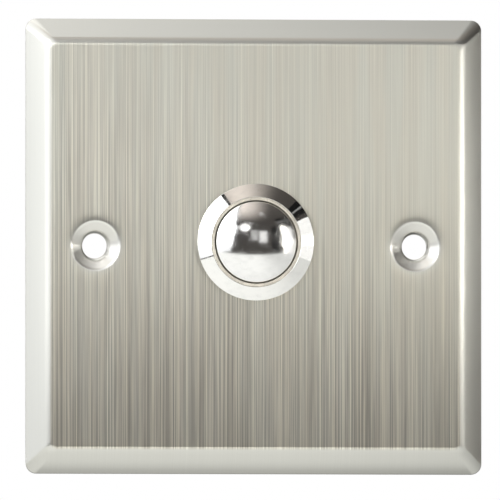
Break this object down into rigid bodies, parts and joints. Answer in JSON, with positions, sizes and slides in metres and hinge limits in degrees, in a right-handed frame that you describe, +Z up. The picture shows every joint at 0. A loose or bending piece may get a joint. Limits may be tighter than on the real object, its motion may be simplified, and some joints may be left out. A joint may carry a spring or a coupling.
{
  "type": "wall-plate push button",
  "caption": "Square brushed steel wall plate with dimpled fixing holes and a domed chrome push button that springs back, on a threaded switch body.",
  "frame": {"origin": "middle of the plate's back rim, in the plane of the wall, on the line of the fixing holes", "axes": "+Z up, +Y into the wall, so the front and the button face -Y; +X to the right seen from the front"},
  "size_m": [0.086, 0.026, 0.0856],
  "materials": {
    "brushed_plate": "stainless steel, brushed from top to bottom",
    "chrome_bezel": "bright chrome on brass",
    "chrome_cap": "mirror chrome on brass, lightly scratched",
    "cream_nylon": "cream nylon, slightly rough",
    "black_rubber": "soft black nitrile rubber",
    "zinc_steel": "pressed steel, bright zinc",
    "nickel_brass": "nickel-plated brass, turned",
    "spring_steel": "drawn stainless spring wire",
    "clip_steel": "phosphated spring steel",
    "white_nylon": "natural nylon",
    "black_plastic": "moulded black glass-filled nylon",
    "brass_strip": "stamped brass, lightly tarnished",
    "silver_contact": "silver contact alloy, satin",
    "nickel_screw": "nickel-plated steel"
  },
  "bodies": {
    "housing": {"face_plate": "brushed_plate", "panel_seal": "black_rubber", "bezel_bush": "chrome_bezel", "guide_sleeve": "cream_nylon", "lock_washer": "zinc_steel", "hex_nut": "nickel_brass", "return_spring": "spring_steel", "block_cover": "black_plastic", "contact_block": "black_plastic", "terminal_left": "brass_strip", "terminal_right": "brass_strip", "fixed_contact_tips": "silver_contact", "terminal_washer_left": "nickel_screw", "terminal_washer_right": "nickel_screw", "terminal_screw_left": "nickel_screw", "terminal_screw_right": "nickel_screw"},
    "button": {"button_cap": "chrome_cap", "cap_seal": "black_rubber", "plunger": "white_nylon", "retaining_clip": "clip_steel", "contact_spring": "spring_steel"},
    "moving_contact": {"contact_bridge": "brass_strip", "bridge_contact_tips": "silver_contact"}
  },
  "joints": [
    {"name": "button_press", "type": "slide", "parent": "housing", "child": "button", "axis": [0, 1, 0], "range_m": [0, 0.0015], "stiffness_N_per_m": 1500, "springref_m": -0.0015, "deforming": ["return_spring"]},
    {"name": "contact_overtravel", "type": "slide", "parent": "button", "child": "moving_contact", "axis": [0, 1, 0], "range_m": [-0.0005, 0], "deforming": ["contact_spring"]}
  ],
  "couplings": [
    {"joint": "contact_overtravel", "follows": "button_press", "ratio": -0.3333}
  ]
}
